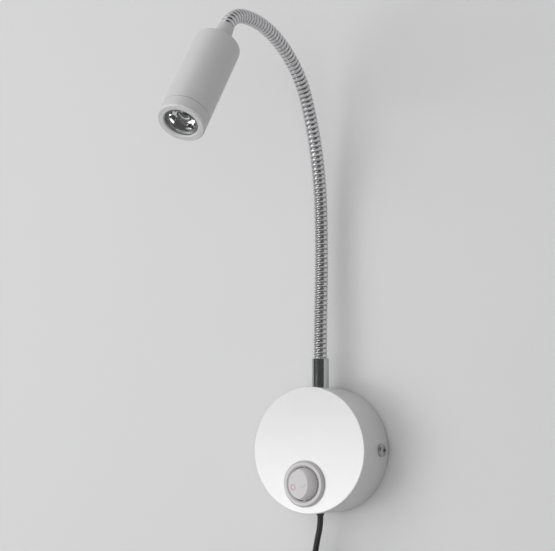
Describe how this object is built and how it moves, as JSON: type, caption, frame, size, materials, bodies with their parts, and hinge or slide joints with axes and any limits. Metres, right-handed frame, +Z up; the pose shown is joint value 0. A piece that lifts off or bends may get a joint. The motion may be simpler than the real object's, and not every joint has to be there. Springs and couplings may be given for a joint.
{
  "type": "wall reading lamp",
  "caption": "Bedside wall reading lamp: a flat round drum with a rocker switch on its face, a ribbed flexible neck and a small cylindrical spot head, on a corded plug",
  "frame": {"origin": "on the wall, at the middle of the drum's mounting face", "axes": "+Z up, +Y into the wall, +X to the right of a person who faces the wall; the lamp stands out toward -Y"},
  "size_m": [0.0917, 0.1901, 0.4593],
  "materials": {
    "drum_finish": "satin silver-white, fine grain",
    "head_finish": "satin silver, bead blasted",
    "zinc_steel": "zinc plated",
    "screw_steel": "nickel plated",
    "hose_steel": "polished ribs with dark grooves",
    "collar_chrome": "dark polished",
    "stub_metal": "satin",
    "brass": "plain, nickel plated on the pins",
    "bezel_plastic": "grey moulding",
    "rocker_plastic": "off-white moulding",
    "white_plastic": "moulded",
    "holder_plastic": "moulded",
    "led_laminate": "dark coated laminate",
    "sleeve_plastic": "moulded",
    "board_laminate": "laminate",
    "capacitor_sleeve": "shrunk sleeve",
    "bare_aluminium": "turned",
    "clear_lens": "clear moulding",
    "wire_sleeve": "flexible sleeve",
    "cord_fittings": "moulded",
    "cord_sheath": "smooth flexible sheath",
    "tie_fabric": "woven hook and loop strip"
  },
  "bodies": {
    "base": {"base_housing": "drum_finish", "wall_bracket": "zinc_steel", "side_screws": "screw_steel", "switch_body": "bezel_plastic", "switch_terminals": "brass", "terminal_sleeves": "sleeve_plastic", "driver_case": "white_plastic", "driver_lid": "white_plastic", "driver_board": "board_laminate", "driver_transformer": "board_laminate", "driver_capacitors": "capacitor_sleeve", "base_wires": "wire_sleeve", "cord_gland": "cord_fittings", "neck_collar": "collar_chrome", "neck_washer": "zinc_steel", "neck_nut": "brass", "hose_section_01": "hose_steel", "lead_section_01": "wire_sleeve", "cord_lead": "cord_sheath", "cord_coil": "cord_sheath", "cord_tie": "tie_fabric", "plug_body": "cord_fittings", "plug_pins": "brass"},
    "rocker": {"switch_rocker": "rocker_plastic", "switch_plunger": "white_plastic"},
    "lever": {"contact_lever": "brass"},
    "neck_02": {"hose_section_02": "hose_steel", "lead_section_02": "wire_sleeve"},
    "neck_03": {"hose_section_03": "hose_steel", "lead_section_03": "wire_sleeve"},
    "neck_04": {"hose_section_04": "hose_steel", "lead_section_04": "wire_sleeve"},
    "neck_05": {"hose_section_05": "hose_steel", "lead_section_05": "wire_sleeve"},
    "neck_06": {"hose_section_06": "hose_steel", "lead_section_06": "wire_sleeve"},
    "neck_07": {"hose_section_07": "hose_steel", "lead_section_07": "wire_sleeve"},
    "neck_08": {"hose_section_08": "hose_steel", "lead_section_08": "wire_sleeve"},
    "neck_09": {"hose_section_09": "hose_steel", "lead_section_09": "wire_sleeve"},
    "neck_10": {"hose_section_10": "hose_steel", "lead_section_10": "wire_sleeve"},
    "neck_11": {"hose_section_11": "hose_steel", "lead_section_11": "wire_sleeve"},
    "head": {"hose_section_12": "hose_steel", "lead_section_12": "wire_sleeve", "head_stub": "stub_metal", "stub_nut": "brass", "head_body": "head_finish", "heat_sink": "bare_aluminium", "led_board": "led_laminate", "led_emitter": "clear_lens", "led_screws": "screw_steel", "lens_holder": "holder_plastic", "lens": "clear_lens", "front_ring": "head_finish"}
  },
  "joints": [
    {"name": "bend_01", "type": "hinge", "parent": "base", "child": "neck_02", "pos_m": [0, -0.01753, 0.09619], "axis": [1, 0.0005, 0.0007], "range_deg": [-3, 10]},
    {"name": "sway_02", "type": "hinge", "parent": "neck_02", "child": "neck_03", "pos_m": [0, -0.01683, 0.11787], "axis": [0, 0.9999, -0.0126], "range_deg": [-13, 13]},
    {"name": "bend_03", "type": "hinge", "parent": "neck_03", "child": "neck_04", "pos_m": [0, -0.01698, 0.13957], "axis": [1, 0.0005, 0.0007], "range_deg": [-3, 10]},
    {"name": "sway_04", "type": "hinge", "parent": "neck_04", "child": "neck_05", "pos_m": [0, -0.01804, 0.16124], "axis": [0, 0.9961, 0.0878], "range_deg": [-13, 13]},
    {"name": "bend_05", "type": "hinge", "parent": "neck_05", "child": "neck_06", "pos_m": [0, -0.02133, 0.18268], "axis": [1, 0.0005, 0.0007], "range_deg": [-3, 10]},
    {"name": "sway_06", "type": "hinge", "parent": "neck_06", "child": "neck_07", "pos_m": [0, -0.02735, 0.20351], "axis": [0, 0.9409, 0.3387], "range_deg": [-13, 13]},
    {"name": "bend_07", "type": "hinge", "parent": "neck_07", "child": "neck_08", "pos_m": [0, -0.03599, 0.2234], "axis": [1, 0.0005, 0.0007], "range_deg": [-3, 10]},
    {"name": "curl_08", "type": "hinge", "parent": "neck_08", "child": "neck_09", "pos_m": [0, -0.04877, 0.24078], "axis": [1, 0.0005, 0.0007], "range_deg": [-13, 8]},
    {"name": "curl_09", "type": "hinge", "parent": "neck_09", "child": "neck_10", "pos_m": [0, -0.06673, 0.25283], "axis": [1, 0.0005, 0.0007], "range_deg": [-13, 8]},
    {"name": "curl_10", "type": "hinge", "parent": "neck_10", "child": "neck_11", "pos_m": [0, -0.08729, 0.25957], "axis": [1, 0.0005, 0.0007], "range_deg": [-13, 8]},
    {"name": "curl_11", "type": "hinge", "parent": "neck_11", "child": "head", "pos_m": [0, -0.1089, 0.26055], "axis": [1, 0.0005, 0.0007], "range_deg": [-13, 8]},
    {"name": "rocker_pivot", "type": "hinge", "parent": "base", "child": "rocker", "pos_m": [-0.0024, -0.0344, -0.0212], "axis": [0, 0, 1], "range_deg": [0, 32]},
    {"name": "lever_pivot", "type": "hinge", "parent": "base", "child": "lever", "pos_m": [-0.0024, -0.0264, -0.0212], "axis": [0, 0, 1], "range_deg": [-14, 0]}
  ],
  "couplings": [
    {"joint": "bend_03", "follows": "bend_01", "ratio": 1},
    {"joint": "sway_04", "follows": "sway_02", "ratio": 1},
    {"joint": "bend_05", "follows": "bend_01", "ratio": 1},
    {"joint": "sway_06", "follows": "sway_02", "ratio": 1},
    {"joint": "bend_07", "follows": "bend_01", "ratio": 1},
    {"joint": "curl_09", "follows": "curl_08", "ratio": 1},
    {"joint": "curl_10", "follows": "curl_08", "ratio": 1},
    {"joint": "curl_11", "follows": "curl_08", "ratio": 1},
    {"joint": "lever_pivot", "follows": "rocker_pivot", "ratio": -0.4375}
  ]
}
